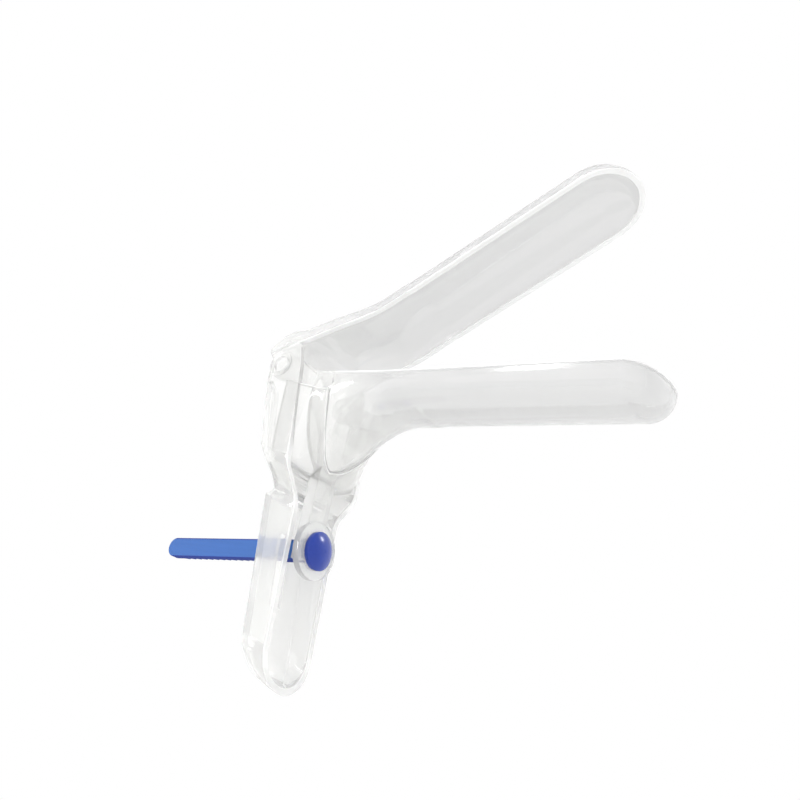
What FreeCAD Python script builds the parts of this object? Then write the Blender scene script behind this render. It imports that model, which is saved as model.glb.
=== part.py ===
import FreeCAD, Part
import Sketcher
import math
import os
import re
from FreeCAD import Matrix, Placement, Rotation, Vector

# Disposable bivalve speculum: two clear polystyrene valves hinged at the mouth,
# and a blue push-through locking pin. X runs along the lower blade, Z is up,
# and the origin is the middle of the hinge line. All sizes are in millimetres.
# Y is the width, and the two halves mirror each other across Y = 0.

DIMENSIONS = [
    # Blades
    ("blade_half_width", 14.9),
    ("blade_depth", 9.2),
    ("wall", 1.7),
    ("lower_rim_z", -2.4),
    ("upper_rim_z", -1.2),
    ("lower_straight_end", 108.0),
    ("lower_tip_length", 8.6),
    ("upper_straight_end", 102.8),
    ("upper_tip_length", 13.5),
    ("flare_end", 46.0),
    # Trumpet mouth of the lower valve
    ("mouth_start", 9.0),
    ("mouth_edge", 14.2),
    ("mouth_tilt", 6.0),
    # Roof of the upper valve over the hinge, in the valve's own closed frame
    ("roof_back", -2.6),
    ("roof_back_rim", 5.2),
    ("roof_middle", 3.4),
    ("roof_middle_rim", 5.2),
    ("root_start", 8.0),
    ("root_rim", 3.2),
    ("roof_back_height", 9.6),
    ("roof_middle_height", 11.6),
    ("root_height", 12.0),
    ("cheek_depth", 1.5),
    ("cheek_lap", 0.6),
    ("roof_proud", 0.25),
    # Frame ring and outer handle of the upper valve
    ("ring_half_width", 17.9),
    ("handle_rake", 32.0),
    ("rest_opening", 32.0),
    ("frame_wall", 1.8),
    ("ring_front", 7.6),
    ("ring_low_front", 12.4),
    ("ring_low_z", -28.0),
    ("ring_back", -3.9),
    ("ring_back_z", -5.0),
    ("ring_top", 8.0),
    ("back_step", 2.0),
    ("ring_low_back", 0.9),
    ("neck_z", -37.4),
    ("neck_front", 13.2),
    ("neck_back", 4.6),
    ("neck_top_z", -34.0),
    ("handle_half_width", 10.5),
    ("web_top_z", -38.6),
    ("web_top_back", 1.1),
    ("web_low_z", -83.0),
    ("web_low_back", 7.6),
    ("handle_low_front", 17.3),
    ("handle_low_z", -93.8),
    ("spoon_z", -89.5),
    ("spoon_back", 10.6),
    ("rear_flange", 3.0),
    ("flange_top_z", -5.4),
    ("flange_low_lift", 1.0),
    ("flange_neck_lift", 2.0),
    ("shoulder_radius", 6.0),
    ("shoulder_slope", 18.0),
    ("shoulder_x", 6.0),
    ("shoulder_z", -29.0),
    ("waist_z", -38.0),
    ("front_low_z", -87.0),
    ("neck_radius", 8.0),
    ("spoon_radius", 6.0),
    ("slot_half_width", 1.9),
    ("slot_top_z", -48.0),
    ("slot_low_z", -70.0),
    # Hinge: studs on the lower valve's ears turn in holes through the ring
    ("stud_radius", 2.5),
    ("stud_clearance", 0.05),
    ("stud_proud", 0.4),
    ("ear_gap", 0.35),
    ("ear_radius", 4.4),
    ("ear_low_z", -8.0),
    ("ear_foot", 2.0),
    ("ear_lap", 5.0),
    ("boss_radius", 4.0),
    ("boss_height", 0.5),
    # Inner lever of the lower valve, and its round pin pad
    ("lever_half_width", 4.0),
    ("lever_top_z", -26.8),
    ("lever_top_front", 14.0),
    ("lever_thickness", 3.6),
    ("lever_lap", 0.4),
    ("pad_radius", 8.5),
    ("pad_thickness", 2.1),
    ("pin_seat_x", 17.1),
    ("pin_seat_z", -52.45),
    ("pin_rise", 2.4),
    # Locking pin
    ("pin_height", 6.0),
    ("pin_width", 3.0),
    ("pin_play", 0.2),
    ("pin_length", 59.4),
    ("head_radius", 5.65),
    ("head_rim", 1.2),
    ("head_dome", 1.9),
    ("tooth_pitch", 2.5),
    ("tooth_height", 0.6),
    ("tooth_root", 0.3),
    ("tooth_start", 14.0),
    ("tooth_count", 16),
    # Reach of the cutting shapes past the object, and what keeps a full round
    # just short of a half circle
    ("cut_reach", 120.0),
    ("round_ease", 0.05),
]

# Stations of the lower trumpet, from its mouth to the straight run: share of the
# way, and how much wider and deeper than the straight blade it is there.
LOWER_STATIONS = [
    (0.0, 2.3, 18.8),
    (0.16, 1.6, 15.6),
    (0.35, 1.0, 8.4),
    (0.54, 0.45, 2.6),
    (0.76, 0.05, 0.4),
    (1.0, 0.0, 0.0),
]

# Stations of the upper root, from the roof to the straight run: share of the way,
# how much wider and higher than the straight blade, and how far the rim lifts.
UPPER_STATIONS = [
    (0.18, 2.3, 1.6, 3.4),
    (0.37, 1.6, 1.0, 2.2),
    (0.55, 0.9, 0.4, 0.8),
    (0.74, 0.3, 0.1, 0.1),
    (1.0, 0.0, 0.0, 0.0),
]

doc = FreeCAD.newDocument("bivalve_speculum")
sheet = doc.addObject("Spreadsheet::Sheet", "Dims")
for row, (alias, value) in enumerate(DIMENSIONS, start=1):
    sheet.set("A%d" % row, alias)
    sheet.set("B%d" % row, str(value))
    sheet.setAlias("B%d" % row, alias)
doc.recompute()


def dim(alias):
    return float(getattr(sheet, alias))


def tie(obj, prop, text):
    """Bind a property to an expression written with the sheet's names."""
    for alias, _ in DIMENSIONS:
        text = re.sub(r"\b%s\b" % alias, "Dims." + alias, text)
    obj.setExpression(prop, text)


def number(text):
    result = sheet.evalExpression(text)
    return float(getattr(result, "Value", result))


def new_body(name):
    return doc.addObject("PartDesign::Body", name)


def outline(body, name, plane, points, arc_at=None):
    """A closed sketch whose corners are tied to the sheet: straight lines, and
    after corner arc_at an arc whose centre lies on the sketch's first axis."""
    sketch = body.newObject("Sketcher::SketchObject", name)
    origin = [f for f in body.Origin.OriginFeatures if f.Role == plane][0]
    sketch.AttachmentSupport = [(origin, "")]
    sketch.MapMode = "FlatFace"
    corners = [Vector(number(u), number(v), 0) for u, v in points]
    count = len(corners)
    for i in range(count):
        first, last = corners[i], corners[(i + 1) % count]
        if i == arc_at:
            middle = (first.x + last.x - first.y ** 2 / (last.x - first.x)) / 2
            circle = Part.Circle(Vector(middle, 0, 0), Vector(0, 0, 1), last.x - middle)
            turn = math.atan2(first.y, first.x - middle)
            sketch.addGeometry(Part.ArcOfCircle(circle, 0, turn), False)
            sketch.addConstraint(Sketcher.Constraint("PointOnObject", i, 3, -1))
        else:
            sketch.addGeometry(Part.LineSegment(first, last), False)
    begin = [2 if i == arc_at else 1 for i in range(count)]
    for i in range(count):
        after = (i + 1) % count
        sketch.addConstraint(Sketcher.Constraint("Coincident", i, 3 - begin[i], after, begin[after]))
    for i, (u, v) in enumerate(points):
        for kind, text, size in (("DistanceX", u, corners[i].x), ("DistanceY", v, corners[i].y)):
            k = sketch.addConstraint(Sketcher.Constraint(kind, -1, 1, i, begin[i], size))
            tie(sketch, "Constraints[%d]" % k, text)
    return sketch


def prism(name, plane, points, length):
    """A body padded both ways from its origin plane."""
    body = new_body(name)
    sketch = outline(body, name + "Outline", plane, points)
    pad = body.newObject("PartDesign::Pad", name + "Pad")
    pad.Profile = sketch
    pad.SideType = "Symmetric"
    tie(pad, "Length", length)
    doc.recompute()
    return body


def round_off(body, name, corners, axes, radius):
    """Fillet the edges that stand square on the outline at these corners."""
    base = body.Tip
    wanted = [(number(u), number(v)) for u, v in corners]
    picked = []
    for i, edge in enumerate(base.Shape.Edges, start=1):
        ends = [(getattr(v.Point, axes[0]), getattr(v.Point, axes[1])) for v in edge.Vertexes]
        if len(ends) != 2 or math.dist(ends[0], ends[1]) > 0.001:
            continue
        if any(math.dist(ends[0], corner) < 0.001 for corner in wanted):
            picked.append("Edge%d" % i)
    fillet = body.newObject("PartDesign::Fillet", name)
    fillet.Base = (base, picked)
    tie(fillet, "Radius", radius)
    doc.recompute()
    return fillet


def join(kind, name, first, second):
    obj = doc.addObject("Part::" + kind, name)
    if kind in ("Cut",):
        obj.Base = first
        obj.Tool = second
    else:
        obj.Shapes = [first] + (second if isinstance(second, list) else [second])
    doc.recompute()
    return obj


# A quarter and a half of a round, as the corner points of a smooth cubic curve
PULL = 4 / 3 * (math.sqrt(2) - 1)
QUARTER_ROUND = [(0, 1), (PULL, 1), (1, PULL), (1, 0)]
HALF_ROUND = [(-1, 0), (-1, PULL), (-PULL, 1), (PULL, 1), (1, PULL), (1, 0)]


def rim_to_rim(x, half_width, depth, rim, way, back):
    """The half ellipse of one skin, from rim to rim across the blade."""
    poles = [Vector(x, half_width * y, rim + way * depth * z) for y, z in HALF_ROUND]
    if back:
        poles.reverse()
    curve = Part.BSplineCurve()
    curve.buildFromPolesMultsKnots(poles, [4, 2, 4], [0.0, 0.5, 1.0], False, 3)
    return curve.toShape()


def section(name, x, half_width, depth, rim, way):
    """The blade's thin section: two skins one wall apart, joined at the rims."""
    t = dim("wall")
    outer = rim_to_rim(x, half_width, depth, rim, way, False)
    inner = rim_to_rim(x, half_width - t, depth - t, rim, way, True)
    right = Part.makeLine(Vector(x, half_width, rim), Vector(x, half_width - t, rim))
    left = Part.makeLine(Vector(x, t - half_width, rim), Vector(x, -half_width, rim))
    wire = doc.addObject("Part::Feature", name)
    wire.Shape = Part.Wire([outer, right, inner, left])
    return wire


def tip_curve(x, length, half_width, rim, side):
    """One side of the tip's rim: a quarter ellipse out to the foremost point."""
    poles = [Vector(x + length * along, side * half_width * across, rim) for along, across in QUARTER_ROUND]
    curve = Part.BSplineCurve()
    curve.buildFromPolesMultsKnots(poles, [4, 4], [0.0, 1.0], False, 3)
    return curve.toShape()


def tip_skin(x, length, half_width, depth, rim, way):
    """One skin of the tip: the half ellipse closes to a point along the rim curve."""
    poles = [[Vector(x + length * along, half_width * across * y, rim + way * depth * across * z)
              for along, across in QUARTER_ROUND] for y, z in HALF_ROUND]
    surface = Part.BSplineSurface()
    surface.buildFromPolesMultsKnots(poles, [4, 2, 4], [4, 4], [0.0, 0.5, 1.0], [0.0, 1.0], False, False, 3, 3)
    return surface.toShape()


def nose(name, x, length, half_width, depth, rim, way):
    """The blunt tip: a quarter of a hollow ellipsoid beyond the straight run."""
    t = dim("wall")
    skins = [tip_skin(x, length, half_width, depth, rim, way),
             tip_skin(x, length - t, half_width - t, depth - t, rim, way)]
    start = Part.Face(section(name + "Start", x, half_width, depth, rim, way).Shape)
    edge = [tip_curve(x, length, half_width, rim, 1), tip_curve(x, length, half_width, rim, -1),
            Part.makeLine(Vector(x, -half_width, rim), Vector(x, t - half_width, rim)),
            tip_curve(x, length - t, half_width - t, rim, -1), tip_curve(x, length - t, half_width - t, rim, 1),
            Part.makeLine(Vector(x, half_width - t, rim), Vector(x, half_width, rim))]
    rim_face = Part.Face(Part.Wire(Part.__sortEdges__(edge)))
    shell = Part.Shell(skins + [start, rim_face])
    shell.sewShape()
    solid = Part.Solid(shell)
    if solid.Volume < 0:
        solid.reverse()
    tip = doc.addObject("Part::Feature", name)
    tip.Shape = solid
    return tip


def lofted(name, rows, way):
    """A shell through one section for each row of stations."""
    shell = doc.addObject("Part::Loft", name)
    shell.Sections = [section("%sStation%d" % (name, i), *row, way) for i, row in enumerate(rows)]
    shell.Solid = True
    return shell


def blade(name, rows, way, rim, end, tip_length):
    """Flared root, straight run and blunt tip of one blade."""
    half_width = dim("blade_half_width")
    depth = dim("blade_depth")
    start = dim("flare_end")
    flare = lofted(name + "Flare", rows, way)
    run = lofted(name + "Run", [(start, half_width, depth, rim), (end, half_width, depth, rim)], way)
    blunt = nose(name + "Nose", end, tip_length, half_width, depth, rim, way)
    return join("MultiFuse", name, flare, [run, blunt])


def flare_rows(start, rim, stations):
    """Blade sections from the start of a flare to the straight run."""
    way = dim("flare_end") - start
    return [(start + share * way, dim("blade_half_width") + wider, dim("blade_depth") + deeper, rim + lift)
            for share, wider, deeper, lift in stations]


# Lower blade with its trumpet mouth
lower_rows = flare_rows(dim("mouth_start"), dim("lower_rim_z"), [row + (0.0,) for row in LOWER_STATIONS])
lower_blade = blade("LowerBlade", lower_rows, -1, dim("lower_rim_z"),
                    dim("lower_straight_end"), dim("lower_tip_length"))

# The mouth is trimmed square to the handle, so its lower lip stands further back.
trim = doc.addObject("Part::Box", "MouthTrim")
tie(trim, "Length", "cut_reach")
tie(trim, "Width", "2 * cut_reach")
tie(trim, "Height", "2 * cut_reach")
mouth = Placement(Vector(dim("mouth_edge"), 0, dim("lower_rim_z")), Rotation(Vector(0, 1, 0), dim("mouth_tilt")))
reach = dim("cut_reach")
trim.Placement = mouth.multiply(Placement(Vector(-reach, -reach, -reach), Rotation()))
lower_shell = join("Cut", "LowerShell", lower_blade, trim)

# Ears: flat plates inside the ring, from the mouth's sides back to the hinge line
EAR_OUT = "ring_half_width - frame_wall - ear_gap"
ears = prism("Ears", "XZ_Plane", [
    ("-0.2 * ear_radius", "-0.97 * ear_radius"),
    ("mouth_edge + ear_foot", "ear_low_z"),
    ("mouth_edge + ear_lap", "ear_low_z"),
    ("mouth_edge + ear_lap", "lower_rim_z"),
    ("mouth_edge", "lower_rim_z"),
    ("0.35 * ear_radius", "0.93 * ear_radius"),
], "2 * (" + EAR_OUT + ")")
ALL_ROUND = [
    ("-cut_reach", "-cut_reach"),
    ("cut_reach", "-cut_reach"),
    ("cut_reach", "cut_reach"),
    ("-cut_reach", "cut_reach"),
]
gap_tool = prism("EarGap", "XZ_Plane", ALL_ROUND, "2 * (" + EAR_OUT + " - wall)")


def cylinder(name, radius, length, placement):
    obj = doc.addObject("Part::Cylinder", name)
    tie(obj, "Radius", radius)
    tie(obj, "Height", length)
    obj.Placement = placement
    return obj


def crosswise(name, radius, half_length):
    """A cylinder along the hinge line, centred on it."""
    spot = Placement(Vector(0, number(half_length), 0), Rotation(Vector(1, 0, 0), 90))
    return cylinder(name, radius, "2 * (" + half_length + ")", spot)


ear_discs = crosswise("EarDiscs", "ear_radius", EAR_OUT)
ear_pair = join("Cut", "EarPair", join("MultiFuse", "EarBlanks", ears, ear_discs), gap_tool)
stud_rod = crosswise("StudRod", "stud_radius", "ring_half_width + stud_proud")
studs = join("Cut", "Studs", stud_rod, gap_tool)

# Inner lever: a bar down from the mouth's lower lip to the round pin pad
lever = prism("Lever", "XZ_Plane", [
    ("lever_top_front", "lever_top_z"),
    ("pin_seat_x - pad_thickness + lever_lap", "pin_seat_z - 0.4 * pad_radius"),
    ("pin_seat_x - pad_thickness - lever_thickness", "pin_seat_z - 0.4 * pad_radius"),
    ("lever_top_front - lever_thickness", "lever_top_z"),
], "2 * lever_half_width")


def along_pin(offset_x, offset_y, offset_z):
    """A placement on the pin's axis: local X forward along the pin."""
    seat = Placement(Vector(dim("pin_seat_x"), 0, dim("pin_seat_z")), Rotation(Vector(0, -1, 0), dim("pin_rise")))
    return seat.multiply(Placement(Vector(offset_x, offset_y, offset_z), Rotation()))


FORWARD = Placement(Vector(0, 0, 0), Rotation(Vector(0, 1, 0), 90))
pad = cylinder("Pad", "pad_radius", "pad_thickness", along_pin(-dim("pad_thickness"), 0, 0).multiply(FORWARD))
pin_way = doc.addObject("Part::Box", "PinWay")
tie(pin_way, "Width", "pin_width + 2 * pin_play")
tie(pin_way, "Height", "pin_height + 2 * pin_play")
tie(pin_way, "Length", "cut_reach")
pin_way.Placement = along_pin(-reach / 2, -number("pin_width / 2 + pin_play"), -number("pin_height / 2 + pin_play"))
lever_arm = join("Cut", "LeverArm", join("MultiFuse", "LeverBlank", lever, pad), pin_way)

lower_valve = join("MultiFuse", "LowerValve", lower_shell, [ear_pair, studs, lever_arm])
lower_valve.Label = "lower_valve"

# Upper blade, in the valve's closed frame, with the arched roof behind its root
roof_half_width = dim("ring_half_width") + dim("roof_proud")
root_row = (dim("root_start"), roof_half_width, dim("root_height"), dim("root_rim"))
upper_rows = [root_row] + flare_rows(dim("root_start"), dim("upper_rim_z"), UPPER_STATIONS)
upper_blade = blade("UpperBlade", upper_rows, 1, dim("upper_rim_z"),
                    dim("upper_straight_end"), dim("upper_tip_length"))
roof = lofted("Roof", [
    (dim("roof_back"), roof_half_width, dim("roof_back_height"), dim("roof_back_rim")),
    (dim("roof_middle"), roof_half_width, dim("roof_middle_height"), dim("roof_middle_rim")),
    root_row,
], 1)


# Frame ring and outer handle: side view and front view, each with its inside,
# drawn as they stand when the handles are squeezed together
def raked(x, z):
    """A point of the closed valve, as it stands with the handles together."""
    return ("cos(handle_rake) * (%s) - sin(handle_rake) * (%s)" % (x, z),
            "sin(handle_rake) * (%s) + cos(handle_rake) * (%s)" % (x, z))


FRONT_OUTER = [
    ("ring_half_width", "ring_top"),
    ("ring_half_width", "shoulder_z"),
    ("handle_half_width", "waist_z"),
    ("handle_half_width", "front_low_z"),
    ("-handle_half_width", "front_low_z"),
    ("-handle_half_width", "waist_z"),
    ("-ring_half_width", "shoulder_z"),
    ("-ring_half_width", "ring_top"),
]
FRONT_INNER = [
    ("ring_half_width - frame_wall", "cut_reach"),
    ("ring_half_width - frame_wall", "shoulder_z"),
    ("handle_half_width - frame_wall", "waist_z"),
    ("handle_half_width - frame_wall", "front_low_z + frame_wall"),
    ("frame_wall - handle_half_width", "front_low_z + frame_wall"),
    ("frame_wall - handle_half_width", "waist_z"),
    ("frame_wall - ring_half_width", "shoulder_z"),
    ("frame_wall - ring_half_width", "cut_reach"),
]
SIDE_OUTER = [
    raked("root_start", "root_rim + cheek_lap"),
    raked("root_start", "root_rim - cheek_depth"),
    ("ring_front", "0"),
    ("ring_low_front", "ring_low_z"),
    ("neck_front", "neck_z"),
    ("handle_low_front", "handle_low_z"),
    ("spoon_back", "spoon_z"),
    ("web_low_back", "web_low_z"),
    ("web_top_back", "web_top_z"),
    ("neck_back", "neck_z"),
    ("neck_back", "neck_top_z"),
    ("ring_low_back", "ring_low_z + back_step"),
    ("ring_back", "ring_back_z"),
    ("ring_back", "0"),
    raked("roof_back", "roof_back_rim - cheek_depth"),
    raked("roof_back", "roof_back_rim + cheek_lap"),
    raked("roof_middle", "roof_middle_rim + cheek_lap"),
]
SIDE_INNER = [
    ("cut_reach", "cut_reach"),
    ("cut_reach", "handle_low_z"),
    ("handle_low_front + frame_wall", "handle_low_z"),
    ("spoon_back + frame_wall", "spoon_z + 0.5 * frame_wall"),
    ("web_low_back + frame_wall", "web_low_z + 0.2 * frame_wall"),
    ("web_top_back + frame_wall", "web_top_z"),
    ("neck_back + frame_wall", "neck_z + frame_wall"),
    ("neck_back + frame_wall", "neck_top_z"),
    ("ring_low_back + frame_wall", "ring_low_z + back_step"),
    ("ring_back + frame_wall", "ring_back_z"),
    ("ring_back + frame_wall", "cut_reach"),
]
front_outer = prism("FrontOuter", "YZ_Plane", FRONT_OUTER, "2 * cut_reach")
round_off(front_outer, "FrontOuterShoulders", [FRONT_OUTER[i] for i in (1, 2, 5, 6)], "yz", "shoulder_radius")
round_off(front_outer, "FrontOuterEnd", [FRONT_OUTER[i] for i in (3, 4)], "yz", "handle_half_width - round_ease")
front_inner = prism("FrontInner", "YZ_Plane", FRONT_INNER, "2 * cut_reach")
round_off(front_inner, "FrontInnerShoulders", [FRONT_INNER[i] for i in (1, 6)], "yz", "shoulder_radius - frame_wall")
round_off(front_inner, "FrontInnerNeck", [FRONT_INNER[i] for i in (2, 5)], "yz", "shoulder_radius + frame_wall")
round_off(front_inner, "FrontInnerEnd", [FRONT_INNER[i] for i in (3, 4)], "yz", "handle_half_width - frame_wall - round_ease")
side_outer = prism("SideOuter", "XZ_Plane", SIDE_OUTER, "4 * ring_half_width")
side_inner = prism("SideInner", "XZ_Plane", SIDE_INNER, "5 * ring_half_width")

# The shoulders run down towards the front, so the front outlines lean with them.
lean_point = Vector(dim("shoulder_x"), 0, dim("shoulder_z"))
lean = Placement(Vector(0, 0, 0), Rotation(Vector(0, 1, 0), dim("shoulder_slope")), lean_point)
front_outer.Placement = lean
front_inner.Placement = lean
round_off(side_outer, "SideOuterNeck", [SIDE_OUTER[i] for i in (3, 4, 11)], "xz", "neck_radius")
round_off(side_outer, "SideOuterSpoon", [SIDE_OUTER[i] for i in (6, 7)], "xz", "spoon_radius")
round_off(side_inner, "SideInnerSpoon", [SIDE_INNER[i] for i in (3, 4)], "xz", "spoon_radius - frame_wall")
round_off(side_inner, "SideInnerNeck", [SIDE_INNER[i] for i in (8,)], "xz", "neck_radius - frame_wall")
frame_block = join("MultiCommon", "FrameBlock", front_outer, side_outer)
frame_core = join("MultiCommon", "FrameCore", front_inner, side_inner)
frame_shell = join("Cut", "FrameShell", frame_block, frame_core)

# The ring is open behind as well, inside its rear flange, down to the neck.
REAR_WAY = [
    ("ring_half_width - frame_wall", "cut_reach"),
    ("ring_half_width - frame_wall", "flange_top_z"),
    ("ring_half_width - frame_wall - rear_flange", "flange_top_z - rear_flange"),
    ("ring_half_width - frame_wall - rear_flange", "ring_low_z + flange_low_lift"),
    ("handle_half_width - frame_wall - rear_flange", "neck_z + flange_neck_lift"),
    ("frame_wall + rear_flange - handle_half_width", "neck_z + flange_neck_lift"),
    ("frame_wall + rear_flange - ring_half_width", "ring_low_z + flange_low_lift"),
    ("frame_wall + rear_flange - ring_half_width", "flange_top_z - rear_flange"),
    ("frame_wall - ring_half_width", "flange_top_z"),
    ("frame_wall - ring_half_width", "cut_reach"),
]
rear_way = prism("RearWay", "YZ_Plane", REAR_WAY, "2 * cut_reach")
slot = prism("PinSlot", "YZ_Plane", [
    ("slot_half_width", "slot_top_z"), ("slot_half_width", "slot_low_z"),
    ("-slot_half_width", "slot_low_z"), ("-slot_half_width", "slot_top_z"),
], "2 * cut_reach")
openings = join("MultiFuse", "FrameOpenings", rear_way, slot)
frame = join("Cut", "Frame", frame_shell, openings)
frame.Placement = Placement(Vector(0, 0, 0), Rotation(Vector(0, 1, 0), dim("handle_rake")))

boss_rod = crosswise("BossRod", "boss_radius", "ring_half_width + boss_height")
boss_gap = prism("BossGap", "XZ_Plane", ALL_ROUND, "2 * (ring_half_width - frame_wall)")
bosses = join("Cut", "Bosses", boss_rod, boss_gap)
hinge_hole = crosswise("HingeHole", "stud_radius + stud_clearance", "2 * ring_half_width")
upper_blank = join("MultiFuse", "UpperBlank", upper_blade, [roof, frame, bosses])
upper_valve = join("Cut", "UpperValve", upper_blank, hinge_hole)
upper_valve.Placement = Placement(Vector(0, 0, 0), Rotation(Vector(0, -1, 0), dim("rest_opening")))
upper_valve.Label = "upper_valve"

# Locking pin: a flat toothed bar with a rounded tail and a domed round head
pin = new_body("LockingPin")
bar = outline(pin, "BarOutline", "XY_Plane", [
    ("0", "pin_width / 2"),
    ("-tooth_start", "pin_width / 2"),
    ("-tooth_start", "pin_width / 2 - tooth_height"),
    ("-pin_length", "pin_width / 2 - tooth_height"),
    ("-pin_length", "-pin_width / 2"),
    ("0", "-pin_width / 2"),
])
bar_pad = pin.newObject("PartDesign::Pad", "Bar")
bar_pad.Profile = bar
bar_pad.SideType = "Symmetric"
tie(bar_pad, "Length", "pin_height")
doc.recompute()
tooth = outline(pin, "ToothOutline", "XY_Plane", [
    ("-tooth_start - 0.7 * tooth_pitch", "pin_width / 2 - tooth_height - tooth_root"),
    ("-tooth_start - 0.7 * tooth_pitch", "pin_width / 2 - tooth_height"),
    ("-tooth_start - 0.1 * tooth_pitch", "pin_width / 2"),
    ("-tooth_start", "pin_width / 2"),
    ("-tooth_start", "pin_width / 2 - tooth_height - tooth_root"),
])
tooth_pad = pin.newObject("PartDesign::Pad", "Tooth")
tooth_pad.Profile = tooth
tooth_pad.SideType = "Symmetric"
tie(tooth_pad, "Length", "pin_height")
doc.recompute()
teeth = pin.newObject("PartDesign::LinearPattern", "Teeth")
teeth.Originals = [tooth_pad]
teeth.Direction = ([f for f in pin.Origin.OriginFeatures if f.Role == "X_Axis"][0], [""])
teeth.Reversed = True
tie(teeth, "Length", "tooth_pitch * (tooth_count - 1)")
tie(teeth, "Occurrences", "tooth_count")
pin.Tip = teeth
doc.recompute()
round_off(pin, "BarTail", [("-pin_length", "pin_height / 2"), ("-pin_length", "-pin_height / 2")], "xz",
          "pin_height / 2 - round_ease")
head = outline(pin, "HeadOutline", "XZ_Plane", [
    ("0", "0"),
    ("0", "head_radius"),
    ("head_rim", "head_radius"),
    ("head_rim + head_dome", "0"),
], arc_at=2)
button = pin.newObject("PartDesign::Revolution", "Head")
button.Profile = head
button.ReferenceAxis = (head, ["H_Axis"])
button.Angle = 360
doc.recompute()
pin.Placement = along_pin(0, 0, 0)
pin.Label = "locking_pin"

doc.recompute()
faults = [o.Label for o in doc.Objects if "Invalid" in o.State or "Error" in o.State]
if faults:
    raise RuntimeError("failed features: " + ", ".join(faults))

os.makedirs("parts", exist_ok=True)
for part in (lower_valve, upper_valve, pin):
    shape = part.Shape
    if shape.isNull() or not shape.isValid() or len(shape.Solids) != 1:
        raise RuntimeError("%s is not one valid solid (%d)" % (part.Label, len(shape.Solids)))
    shape.exportStep("parts/%s.step" % part.Label)
    print(part.Label, round(shape.Volume, 1), shape.BoundBox)
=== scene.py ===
import math

import bmesh
import bpy
from mathutils import Matrix, Vector


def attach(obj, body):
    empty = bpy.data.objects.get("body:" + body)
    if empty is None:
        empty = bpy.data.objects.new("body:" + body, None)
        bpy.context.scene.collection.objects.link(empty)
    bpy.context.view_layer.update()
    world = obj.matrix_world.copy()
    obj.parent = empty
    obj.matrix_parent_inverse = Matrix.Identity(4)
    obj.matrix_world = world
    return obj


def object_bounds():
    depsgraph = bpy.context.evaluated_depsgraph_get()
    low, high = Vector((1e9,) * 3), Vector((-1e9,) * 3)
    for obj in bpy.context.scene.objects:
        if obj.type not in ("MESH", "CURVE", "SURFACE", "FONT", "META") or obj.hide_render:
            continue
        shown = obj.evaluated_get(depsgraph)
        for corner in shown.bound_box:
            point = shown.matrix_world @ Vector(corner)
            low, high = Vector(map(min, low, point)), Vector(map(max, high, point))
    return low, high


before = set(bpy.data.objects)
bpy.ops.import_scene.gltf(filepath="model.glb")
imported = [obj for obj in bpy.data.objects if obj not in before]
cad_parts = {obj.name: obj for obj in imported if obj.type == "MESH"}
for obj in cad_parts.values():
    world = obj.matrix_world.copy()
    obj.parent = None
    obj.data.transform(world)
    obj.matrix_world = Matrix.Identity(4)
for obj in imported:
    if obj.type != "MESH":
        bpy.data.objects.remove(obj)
cad_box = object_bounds()
scene = bpy.context.scene

# Photographer's viewpoint. The speculum is seen from the tips' side, a little
# from below, with the camera rolled so that the pin lies level in the picture.
# Lengths are in metres, apart from the sensor's and the lens's, in millimetres.
VIEW_AZIMUTH = math.radians(38.08)
VIEW_ELEVATION = math.radians(-20.67)
VIEW_ROLL = math.radians(13.63)
VIEW_DISTANCE = 0.33037
AIM_RIGHT = 0.02637
AIM_UP = -0.00353
SENSOR_WIDTH = 36.0
FOCAL_LENGTH = 47.08
NEAREST_SEEN = 0.01
FARTHEST_SEEN = 20

back = Vector((math.sin(VIEW_AZIMUTH) * math.cos(VIEW_ELEVATION),
               -math.cos(VIEW_AZIMUTH) * math.cos(VIEW_ELEVATION),
               math.sin(VIEW_ELEVATION)))
level = Vector((math.cos(VIEW_AZIMUTH), math.sin(VIEW_AZIMUTH), 0))
plumb = back.cross(level)
right = level * math.cos(VIEW_ROLL) + plumb * math.sin(VIEW_ROLL)
up = plumb * math.cos(VIEW_ROLL) - level * math.sin(VIEW_ROLL)
lens = bpy.data.cameras.new("camera")
lens.sensor_width = SENSOR_WIDTH
lens.lens = FOCAL_LENGTH
lens.clip_start = NEAREST_SEEN
lens.clip_end = FARTHEST_SEEN
camera = bpy.data.objects.new("camera", lens)
scene.collection.objects.link(camera)
camera.matrix_world = Matrix.Translation(back * VIEW_DISTANCE + right * AIM_RIGHT + up * AIM_UP) @ \
    Matrix((right, up, back)).transposed().to_4x4()
scene.camera = camera

# Lower valve: blade, trumpet mouth, hinge ears and inner lever in one moulding.
# It is crystal polystyrene from a polished mould: glossy, faintly wavy from the
# flow, smoke grey along the thin blade and milky where the walls crowd together.
# The blade's grey and the root's white are partly painted: painted shade on the
# down-facing blade and painted light on the root's walls.
# The blade's grey and the root's white: partly tint, partly painted shade and light
SMOKE_AND_SHADE_GREY = "#E8E8E8"
MILKY_AND_LIT_WHITE = "#FFFFFE"
# Painted highlight white, for the rims, fronts and rounded edges of the clear plastic
PAINTED_HIGHLIGHT_WHITE = "#FFFFFF"
POLYSTYRENE_IOR = 1.59
BLADE_CLEARNESS = 0.76
MILKY_CLEARNESS = 0.74
WALL_COVER = 0.86
# Where along the valve the milky root gives way to the clear blade, and the whiter root,
# partly painted light, to the greyer blade, partly painted shade
TRUMPET = (0.018, 0.038)
# Waves some 9 mm long from the flow of the melt, and the haze of the mould's skin:
# its real grain is too fine to show, so it is drawn at 1.2 mm
FLOW_WAVE = 0.009
FLOW_HEIGHT = 0.00005
FLOW_RELIEF = 0.35
FLOW_ROUGHNESS = 0.45
HAZE_GRAIN = 0.0012
HAZE_ROUGHNESS = 0.6
HAZE_GLOSS = (0.03, 0.12)
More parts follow.
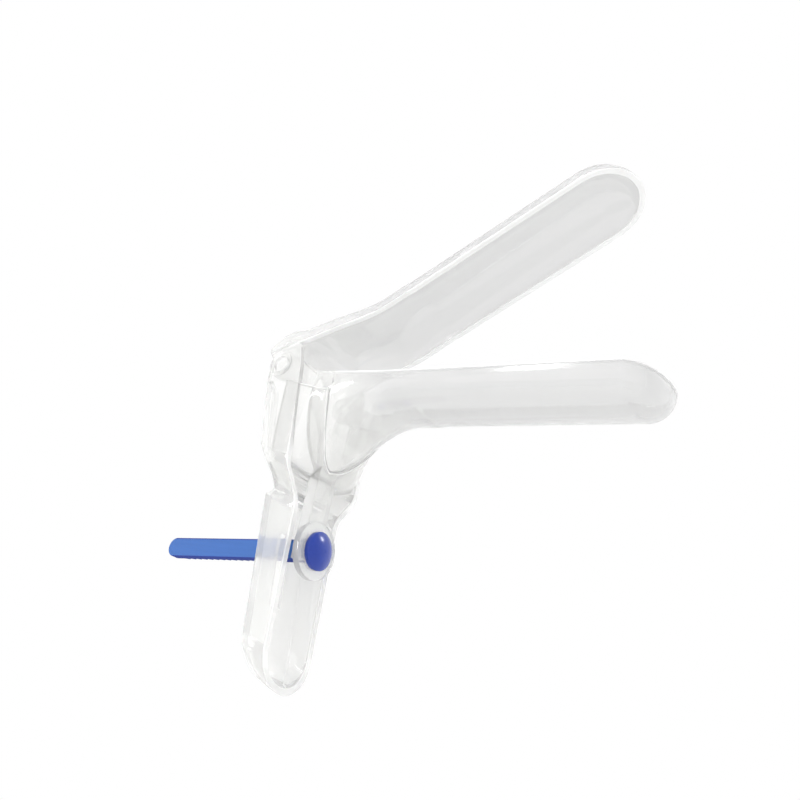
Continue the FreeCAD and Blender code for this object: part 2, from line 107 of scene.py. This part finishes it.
# A plane with a painted highlight: which way it faces, in degrees up from the x axis, how far it lies
# from the hinge line, and how strong the painted white is on it
LOWER_RIM = (90, -0.0024, 1.0)
# Half the width of a painted highlight line, sharp and faded, and the length past the root over
# which it comes up
RIM_BAND = (0.0003, 0.0006)
RIM_FADE = 0.004
RIM_CLEARNESS = 0.15
# Light leaves an edge unevenly: noise changes how clear the edge is, over this range
# of the noise's values, and how glossy it is
EDGE_TURNS = (0.35, 0.65)
EDGE_CLEARNESS = (0.05, 0.4)
EDGE_GLOSS = (0.05, 0.25)
MOULD_EDGE = 0.00035
SHARP_EDGE = 38
WELD_REACH = 0.000002
# The numbers of a Mix node's colour sockets; its sockets for other types share their names
MIX_FIRST = 6
MIX_SECOND = 7
MIX_RESULT = 2


def linear(hex_colour):
    """An sRGB hex colour as a linear RGBA."""
    channels = [int(hex_colour[i:i + 2], 16) / 255 for i in (1, 3, 5)]
    return tuple(c / 12.92 if c <= 0.04045 else ((c + 0.055) / 1.055) ** 2.4 for c in channels) + (1.0,)


def add(tree, kind, links=(), **settings):
    """A node of this kind; a setting is a socket's value or the node's own."""
    node = tree.nodes.new(kind)
    for name, value in settings.items():
        socket = name.replace("_", " ")
        if socket in node.inputs:
            node.inputs[socket].default_value = value
        else:
            setattr(node, name, value)
    for source, output, target in links:
        tree.links.new(source.outputs[output], node.inputs[target])
    return node


def empty_material(name):
    """A material and its tree, which has no nodes yet."""
    material = bpy.data.materials.new(name)
    material.use_nodes = True
    material.node_tree.nodes.clear()
    return material, material.node_tree


def away_from(tree, place, facing, distance):
    """How far a point lies from the plane that faces this way at this distance."""
    turn = math.radians(facing)
    reach = add(tree, "ShaderNodeVectorMath", [(place, "Object", 0)], operation="DOT_PRODUCT")
    reach.inputs[1].default_value = (math.cos(turn), 0, math.sin(turn))
    off = add(tree, "ShaderNodeMath", [(reach, "Value", 0)], operation="SUBTRACT")
    off.inputs[1].default_value = distance
    return add(tree, "ShaderNodeMath", [(off, 0, 0)], operation="ABSOLUTE")


def painted_highlight_plane(tree, place, plane):
    """The painted highlight's whiteness on the plane and close to it, and 0 away from it."""
    facing, distance, whiteness = plane
    return add(tree, "ShaderNodeMapRange", [(away_from(tree, place, facing, distance), 0, "Value")],
               From_Min=RIM_BAND[0], From_Max=RIM_BAND[1], To_Min=whiteness, To_Max=0.0)


def clear_polystyrene(name, axis, milky_to_clear, rims, fronts=()):
    """Crystal polystyrene, injection moulded: clear and grey along the blade, milky and white at the root,
    the grey and white partly painted shade and light.

    The two ends of milky_to_clear are where along the axis the one gives way to the
    other. Where light leaves the walls at their edges, a painted highlight stands in for it:
    the planes of the rims, past the root, and of the fronts, before it, are painted white."""
    material, tree = empty_material(name)
    place = add(tree, "ShaderNodeTexCoord")
    parts = add(tree, "ShaderNodeSeparateXYZ", [(place, "Object", "Vector")])
    root, clear = milky_to_clear
    blade = add(tree, "ShaderNodeMapRange", [(parts, axis, "Value")], From_Min=root, From_Max=clear)
    # Whiter at the root, greyer along the blade: partly tint, partly painted light and shade
    colour = add(tree, "ShaderNodeMix", [(blade, "Result", "Factor")], data_type="RGBA")
    colour.inputs[MIX_FIRST].default_value = linear(MILKY_AND_LIT_WHITE)
    colour.inputs[MIX_SECOND].default_value = linear(SMOKE_AND_SHADE_GREY)
    clearness = add(tree, "ShaderNodeMapRange", [(blade, "Result", "Value")],
                    To_Min=MILKY_CLEARNESS, To_Max=BLADE_CLEARNESS)
    past_root = add(tree, "ShaderNodeMapRange", [(parts, axis, "Value")],
                    From_Min=root, From_Max=root + RIM_FADE)
    before_root = add(tree, "ShaderNodeMapRange", [(past_root, "Result", "Value")], To_Min=1.0, To_Max=0.0)
    shares = [(plane, past_root) for plane in rims] + [(plane, before_root) for plane in fronts]
    lines = [add(tree, "ShaderNodeMath", [(painted_highlight_plane(tree, place, plane), 0, 0), (share, 0, 1)],
                 operation="MULTIPLY") for plane, share in shares]
    painted_highlight = lines[0]
    for line in lines[1:]:
        painted_highlight = add(tree, "ShaderNodeMath", [(painted_highlight, 0, 0), (line, 0, 1)], operation="MAXIMUM")
    # Painted highlight: white painted on and near the rim and front planes, which are made less clear there
    highlight_painted_colour = add(tree, "ShaderNodeMix", [(painted_highlight, 0, "Factor"), (colour, MIX_RESULT, MIX_FIRST)],
                 data_type="RGBA")
    highlight_painted_colour.inputs[MIX_SECOND].default_value = linear(PAINTED_HIGHLIGHT_WHITE)
    through = add(tree, "ShaderNodeMapRange", [(painted_highlight, 0, "Value"), (clearness, "Result", "To Min")],
                  To_Max=RIM_CLEARNESS)
    wave = add(tree, "ShaderNodeTexNoise", [(place, "Object", "Vector")],
               Scale=1 / FLOW_WAVE, Detail=2.0, Roughness=FLOW_ROUGHNESS)
    dimple = add(tree, "ShaderNodeBump", [(wave, "Fac", "Height")],
                 Strength=FLOW_RELIEF, Distance=FLOW_HEIGHT)
    haze = add(tree, "ShaderNodeTexNoise", [(place, "Object", "Vector")],
               Scale=1 / HAZE_GRAIN, Detail=4.0, Roughness=HAZE_ROUGHNESS)
    gloss = add(tree, "ShaderNodeMapRange", [(haze, "Fac", "Value")],
                To_Min=HAZE_GLOSS[0], To_Max=HAZE_GLOSS[1])
    shader = add(tree, "ShaderNodeBsdfPrincipled",
                 [(highlight_painted_colour, MIX_RESULT, "Base Color"), (through, "Result", "Transmission Weight"),
                  (gloss, "Result", "Roughness"), (dimple, "Normal", "Normal")],
                 IOR=POLYSTYRENE_IOR, Alpha=WALL_COVER)
    add(tree, "ShaderNodeOutputMaterial", [(shader, "BSDF", "Surface")])
    return material


def painted_highlight_edge(name):
    """The rounded edges of the same plastic, painted white as a highlight for the light that leaves the wall
    there.
    """
    material, tree = empty_material(name)
    place = add(tree, "ShaderNodeTexCoord")
    wave = add(tree, "ShaderNodeTexNoise", [(place, "Object", "Vector")], Scale=1 / FLOW_WAVE, Detail=3.0)
    clearness = add(tree, "ShaderNodeMapRange", [(wave, "Fac", "Value")],
                    From_Min=EDGE_TURNS[0], From_Max=EDGE_TURNS[1],
                    To_Min=EDGE_CLEARNESS[0], To_Max=EDGE_CLEARNESS[1])
    gloss = add(tree, "ShaderNodeMapRange", [(wave, "Fac", "Value")],
                To_Min=EDGE_GLOSS[0], To_Max=EDGE_GLOSS[1])
    shader = add(tree, "ShaderNodeBsdfPrincipled",
                 [(clearness, "Result", "Transmission Weight"), (gloss, "Result", "Roughness")],
                 Base_Color=linear(PAINTED_HIGHLIGHT_WHITE), IOR=POLYSTYRENE_IOR)
    add(tree, "ShaderNodeOutputMaterial", [(shader, "BSDF", "Surface")])
    return material


def mould_edge(piece, width, sharp, finish):
    """The small round that a mould leaves on edges this sharp, with a finish of its own."""
    piece.data.materials.append(finish)
    bevel = piece.modifiers.new("mould_edge", "BEVEL")
    bevel.width = width
    bevel.segments = 2
    bevel.limit_method = "ANGLE"
    bevel.angle_limit = math.radians(sharp)
    bevel.harden_normals = True
    bevel.material = len(piece.data.materials) - 1


def finish_with(node, material, edge, edge_finish):
    """Give a moulding its finish, on its faces and on its edges."""
    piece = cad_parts[node]
    if not piece.data.materials:
        piece.data.materials.append(material)
    for i in range(len(piece.data.materials)):
        piece.data.materials[i] = material
    piece.modifiers.new("weld", "WELD").merge_threshold = WELD_REACH
    mould_edge(piece, edge, SHARP_EDGE, edge_finish)


lower_plastic = clear_polystyrene("clear_polystyrene_lower", "X", TRUMPET, [LOWER_RIM])
# The rounded edges of the clear mouldings get a painted white highlight
highlight_edge_finish = painted_highlight_edge("clear_polystyrene_painted_highlight_edge")
finish_with("lower_valve", lower_plastic, MOULD_EDGE, highlight_edge_finish)

# Collar of the lower valve's mouth: the flat cheeks that stand inside the ring,
# from the ears down to a rounded sill, and run forward into the trumpet. It is
# one moulding with the valve, so it has the same plastic and about the same wall.
COLLAR_HALF_WIDTH = 0.0156
COLLAR_RIM_Z = -0.0024
COLLAR_DEPTH = 0.0273
COLLAR_WALL = 0.0015
# Where the collar starts and ends along the valve, at its sides and at its sill
COLLAR_BACK_SIDE = 0.0035
COLLAR_BACK_SILL = 0.0065
COLLAR_FRONT_SIDE = 0.0195
COLLAR_FRONT_SILL = 0.0140
# The line under the ears that the cheeks reach up to: its ends' x and z
EAR_FOOT_BACK = (-0.0009, -0.0043)
EAR_FOOT_FRONT = (0.0162, -0.0080)
EAR_OVERLAP = 0.0002
# Trumpet's outside along the valve: x, half width and depth below its rim
TRUMPET_ROWS = [
    (0.0090, 0.0172, 0.0280),
    (0.0149, 0.0165, 0.0248),
    (0.0220, 0.0159, 0.0176),
    (0.0290, 0.01535, 0.0118),
]
TRUMPET_SINK = 0.0006
# The section is a rounded box at the back, and an ellipse where it meets the trumpet
BOX_SQUARENESS = 9.0
ELLIPSE_SQUARENESS = 2
TURN_START = 0.45
COLLAR_SHARP_EDGE = 60
COLLAR_AROUND = 48
COLLAR_ALONG = 12


def between(rows, x):
    """Half width and depth at x, straight between the rows on each side of it."""
    for (x0, *first), (x1, *last) in zip(rows, rows[1:]):
        if x <= x1:
            share = (x - x0) / (x1 - x0)
            return [a + (b - a) * share for a, b in zip(first, last)]
    return rows[-1][1:]


def section_reach(angle, half_width, depth, squareness):
    """How far a rounded box or an ellipse reaches from its centre at this angle."""
    across = abs(math.cos(angle)) / half_width
    down = abs(math.sin(angle)) / depth
    return (across ** squareness + down ** squareness) ** (-1 / squareness)


def collar_point(around, along):
    """A point of the collar's outside, from ear to ear and from back to front."""
    side = abs(math.cos(math.pi * around))
    back_x = COLLAR_BACK_SILL + (COLLAR_BACK_SIDE - COLLAR_BACK_SILL) * side
    front_x = COLLAR_FRONT_SILL + (COLLAR_FRONT_SIDE - COLLAR_FRONT_SILL) * side
    x = back_x + (front_x - back_x) * along
    slope = (EAR_FOOT_FRONT[1] - EAR_FOOT_BACK[1]) / (EAR_FOOT_FRONT[0] - EAR_FOOT_BACK[0])
    top_z = EAR_FOOT_BACK[1] + slope * (min(x, EAR_FOOT_FRONT[0]) - EAR_FOOT_BACK[0]) + EAR_OVERLAP
    top = math.atan2(COLLAR_RIM_Z - top_z, COLLAR_HALF_WIDTH)
    angle = top + (math.pi - 2 * top) * around
    box = section_reach(angle, COLLAR_HALF_WIDTH, COLLAR_DEPTH, BOX_SQUARENESS)
    half_width, depth = between(TRUMPET_ROWS, front_x)
    round_mouth = section_reach(angle, half_width - TRUMPET_SINK, depth - TRUMPET_SINK, ELLIPSE_SQUARENESS)
    turned = max(0.0, (along - TURN_START) / (1 - TURN_START))
    turned = turned * turned * (3 - 2 * turned)
    reach = box + (round_mouth - box) * turned
    return x, reach * math.cos(angle), COLLAR_RIM_Z - reach * math.sin(angle)


def sheet_of(name, point, around, along):
    """A mesh of quads over a grid of points."""
    form = bmesh.new()
    grid = [[form.verts.new(point(i / around, k / along)) for i in range(around + 1)]
            for k in range(along + 1)]
    for k in range(along):
        for i in range(around):
            form.faces.new((grid[k][i], grid[k][i + 1], grid[k + 1][i + 1], grid[k + 1][i])).smooth = True
    mesh = bpy.data.meshes.new(name)
    form.to_mesh(mesh)
    form.free()
    piece = bpy.data.objects.new(name, mesh)
    scene.collection.objects.link(piece)
    return piece


collar = sheet_of("mouth_collar", collar_point, COLLAR_AROUND, COLLAR_ALONG)
collar.data.materials.append(lower_plastic)
collar_wall = collar.modifiers.new("wall", "SOLIDIFY")
collar_wall.thickness = COLLAR_WALL
collar_wall.offset = -1
collar_wall.use_even_offset = True
mould_edge(collar, MOULD_EDGE, COLLAR_SHARP_EDGE, highlight_edge_finish)
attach(collar, "lower")

# Upper valve: blade, roof, ring and outer handle in one moulding of the same clear
# polystyrene, snapped over the studs of the lower valve's ears. It stands open, so
# its rims lean back, and those of its root lean less.
RING_TOP = (0.004, 0.020)
BLADE_OPENED = 32
ROOT_OPENED = 22.2
# Planes of the rims and fronts that get a painted white highlight
UPPER_RIM = (90 + BLADE_OPENED, -0.0012, 1.0)
ROOT_RIM = (90 + ROOT_OPENED, 0.0046, 1.0)
RING_FRONT = (7.6, 0.00859, 1.0)
# The handle's front line is fainter in the photograph than the ring's
HANDLE_FRONT = (4.16, 0.01045, 0.4)

upper_plastic = clear_polystyrene("clear_polystyrene_upper", "Z", RING_TOP, [UPPER_RIM, ROOT_RIM],
                                  [RING_FRONT, HANDLE_FRONT])
finish_with("upper_valve", upper_plastic, MOULD_EDGE, highlight_edge_finish)

# Neck web of the upper valve: the same moulding closes the foot of the ring
# behind the lever, between its rear flanges, up to just under the collar's sill.
WEB_FOOT_Z = -0.0360
WEB_TOP_Z = -0.0304
WEB_TOP_RISE = 0.0014
WEB_FOOT_HALF_WIDTH = 0.0058
# How much half width the web gains for its height
WEB_SPREAD = 0.90
# Two points of the flanges' back line, x and z
WEB_BACK_TOP = (0.0010, -0.0260)
WEB_BACK_LOW = (0.0047, -0.0340)
WEB_WALL = 0.0016
WEB_AROUND = 24
WEB_ALONG = 8


def neck_web_point(around, along):
    """A point of the web's rear face, from side to side and from its foot up."""
    side = 2 * around - 1
    z = WEB_FOOT_Z + (WEB_TOP_Z + WEB_TOP_RISE * side * side - WEB_FOOT_Z) * along
    half_width = WEB_FOOT_HALF_WIDTH + WEB_SPREAD * (z - WEB_FOOT_Z)
    share = min(1.0, (WEB_BACK_TOP[1] - z) / (WEB_BACK_TOP[1] - WEB_BACK_LOW[1]))
    return WEB_BACK_TOP[0] + (WEB_BACK_LOW[0] - WEB_BACK_TOP[0]) * share, half_width * side, z


neck_web = sheet_of("neck_web", neck_web_point, WEB_AROUND, WEB_ALONG)
neck_web.data.materials.append(upper_plastic)
web_wall = neck_web.modifiers.new("wall", "SOLIDIFY")
web_wall.thickness = WEB_WALL
web_wall.offset = 1
mould_edge(neck_web, MOULD_EDGE, COLLAR_SHARP_EDGE, highlight_edge_finish)
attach(neck_web, "upper")

# Locking pin: a flat toothed bar with a domed head, moulded in blue polypropylene.
# It is pushed through the pad of the lever and the slot of the outer handle.
BAR_BLUE = "#3667B2"
HEAD_BLUE = "#1B3A9D"
# Painted shade blue, for the bar's narrow faces
PAINTED_SHADE_BLUE = "#22378C"
POLYPROPYLENE_IOR = 1.49
# Where along the pin the bar gives way to the thick head
HEAD_START = (0.014, 0.017)
# The bar rises by these degrees from its seat in the pad, given by x and z. A painted shade darkens
# its blue towards both narrow faces, between these two distances from its mid-height
PIN_RISE = 2.4
PIN_SEAT = (0.0171, -0.05245)
PAINTED_SHADE_BAND = (0.00255, 0.00285)
# Lines some 0.9 mm apart from the flow of the melt, drawn out along the bar
FLOW_LINE = 0.0009
LINE_STRETCH = 20
LINE_HEIGHT = 0.00002
LINE_RELIEF = 0.2
LINE_TONES = (0.88, 1.04)
SATIN_GLOSS = (0.12, 0.3)
PIN_EDGE = 0.00025


def blue_polypropylene(name):
    """Polypropylene, moulded: satin, its blue darker on the head, and darkened along the narrow faces by a
    painted shade.
    """
    material, tree = empty_material(name)
    place = add(tree, "ShaderNodeTexCoord")
    parts = add(tree, "ShaderNodeSeparateXYZ", [(place, "Object", "Vector")])
    head = add(tree, "ShaderNodeMapRange", [(parts, "X", "Value")],
               From_Min=HEAD_START[0], From_Max=HEAD_START[1])
    colour = add(tree, "ShaderNodeMix", [(head, "Result", "Factor")], data_type="RGBA")
    colour.inputs[MIX_FIRST].default_value = linear(BAR_BLUE)
    colour.inputs[MIX_SECOND].default_value = linear(HEAD_BLUE)
    rise = math.radians(PIN_RISE)
    middle = PIN_SEAT[1] * math.cos(rise) - PIN_SEAT[0] * math.sin(rise)
    from_middle = away_from(tree, place, 90 + PIN_RISE, middle)
    # Painted shade: the bar's blue darkens towards both narrow faces, not on the head
    shade_band = add(tree, "ShaderNodeMapRange", [(from_middle, 0, "Value")],
               From_Min=PAINTED_SHADE_BAND[0], From_Max=PAINTED_SHADE_BAND[1])
    on_bar = add(tree, "ShaderNodeMapRange", [(head, "Result", "Value")], To_Min=1.0, To_Max=0.0)
    painted_shade = add(tree, "ShaderNodeMath", [(shade_band, "Result", 0), (on_bar, "Result", 1)], operation="MULTIPLY")
    shade_painted_colour = add(tree, "ShaderNodeMix", [(painted_shade, 0, "Factor"), (colour, MIX_RESULT, MIX_FIRST)],
                data_type="RGBA")
    shade_painted_colour.inputs[MIX_SECOND].default_value = linear(PAINTED_SHADE_BLUE)
    stretch = add(tree, "ShaderNodeMapping", [(place, "Object", "Vector")], Scale=(1 / LINE_STRETCH, 1, 1))
    lines = add(tree, "ShaderNodeTexNoise", [(stretch, "Vector", "Vector")], Scale=1 / FLOW_LINE, Detail=3.0)
    tone = add(tree, "ShaderNodeMapRange", [(lines, "Fac", "Value")],
               To_Min=LINE_TONES[0], To_Max=LINE_TONES[1])
    toned = add(tree, "ShaderNodeHueSaturation", [(shade_painted_colour, MIX_RESULT, "Color"), (tone, "Result", "Value")])
    dimple = add(tree, "ShaderNodeBump", [(lines, "Fac", "Height")],
                 Strength=LINE_RELIEF, Distance=LINE_HEIGHT)
    gloss = add(tree, "ShaderNodeMapRange", [(lines, "Fac", "Value")],
                To_Min=SATIN_GLOSS[0], To_Max=SATIN_GLOSS[1])
    dulled = add(tree, "ShaderNodeMath", [(gloss, "Result", 0), (painted_shade, 0, 1)], operation="MAXIMUM")
    shader = add(tree, "ShaderNodeBsdfPrincipled",
                 [(toned, "Color", "Base Color"), (dulled, 0, "Roughness"), (dimple, "Normal", "Normal")],
                 IOR=POLYPROPYLENE_IOR)
    add(tree, "ShaderNodeOutputMaterial", [(shader, "BSDF", "Surface")])
    return material


blue_plastic = blue_polypropylene("blue_polypropylene")
finish_with("locking_pin", blue_plastic, PIN_EDGE, blue_plastic)

# Studio: a round floor of pale matt paper well below the object, and a soft white
# surround that is brightest at the sides, a little darker behind the camera and
# plain white behind the object.
FLOOR_DROP = 0.096
FLOOR_RADIUS = 0.68
FLOOR_SIDES = 128
FLOOR_PALE = "#EAEAE9"
PAPER_ROUGHNESS = 0.9
# How white the surround is, from behind the camera at 0 to behind the object at 1
SURROUND = [(0.0, 0.91), (0.35, 0.97), (0.62, 1.3), (0.82, 1.15), (0.92, 1.0)]

bpy.ops.mesh.primitive_circle_add(vertices=FLOOR_SIDES, radius=FLOOR_RADIUS, fill_type="NGON",
                                  location=(0, 0, cad_box[0].z - FLOOR_DROP))
floor = bpy.context.object
floor.name = "floor"
paper, paper_tree = empty_material("pale_paper")
matt = add(paper_tree, "ShaderNodeBsdfPrincipled", Base_Color=linear(FLOOR_PALE), Roughness=PAPER_ROUGHNESS)
add(paper_tree, "ShaderNodeOutputMaterial", [(matt, "BSDF", "Surface")])
floor.data.materials.append(paper)

world = bpy.data.worlds.new("studio")
scene.world = world
world.use_nodes = True
sky = world.node_tree
sky.nodes.clear()
direction = add(sky, "ShaderNodeTexCoord")
facing = add(sky, "ShaderNodeVectorMath", [(direction, "Generated", 0)], operation="DOT_PRODUCT")
facing.inputs[1].default_value = tuple(-back)
turn = add(sky, "ShaderNodeMapRange", [(facing, "Value", "Value")], From_Min=-1.0, From_Max=1.0)
surround = add(sky, "ShaderNodeValToRGB", [(turn, "Result", "Fac")])
stops = surround.color_ramp.elements
while len(stops) < len(SURROUND):
    stops.new(0.5)
for stop, (position, white) in zip(stops, SURROUND):
    stop.position = position
    stop.color = (white, white, white, 1)
glow = add(sky, "ShaderNodeBackground", [(surround, "Color", "Color")])
add(sky, "ShaderNodeOutputWorld", [(glow, "Background", "Surface")])
scene.view_settings.view_transform = "Standard"

# Light is followed far enough through the stacked clear walls to come out again.
scene.cycles.max_bounces = 48
scene.cycles.glossy_bounces = 24
scene.cycles.transmission_bounces = 40
scene.cycles.transparent_max_bounces = 48

# Three small soft boxes, each with its face towards the object, for the glints on
# the rims and on the pin's head: place, width, height and power in watts.
SOFT_BOXES = {
    "key_box": ((-0.1, -0.5, 0.45), 0.15, 0.15, 0.9),
    "strip_box": ((-0.17, -0.52, 0.0), 0.05, 0.2, 0.5),
    "rim_box": ((0.32, 0.31, 0.37), 0.1, 0.1, 0.7),
}

for name, (place, width, height, power) in SOFT_BOXES.items():
    lamp = bpy.data.lights.new(name, "AREA")
    lamp.shape = "RECTANGLE"
    lamp.size = width
    lamp.size_y = height
    lamp.energy = power
    soft_box = bpy.data.objects.new(name, lamp)
    scene.collection.objects.link(soft_box)
    soft_box.location = place
    soft_box.rotation_mode = "QUATERNION"
    soft_box.rotation_quaternion = Vector(place).to_track_quat("Z", "Y")
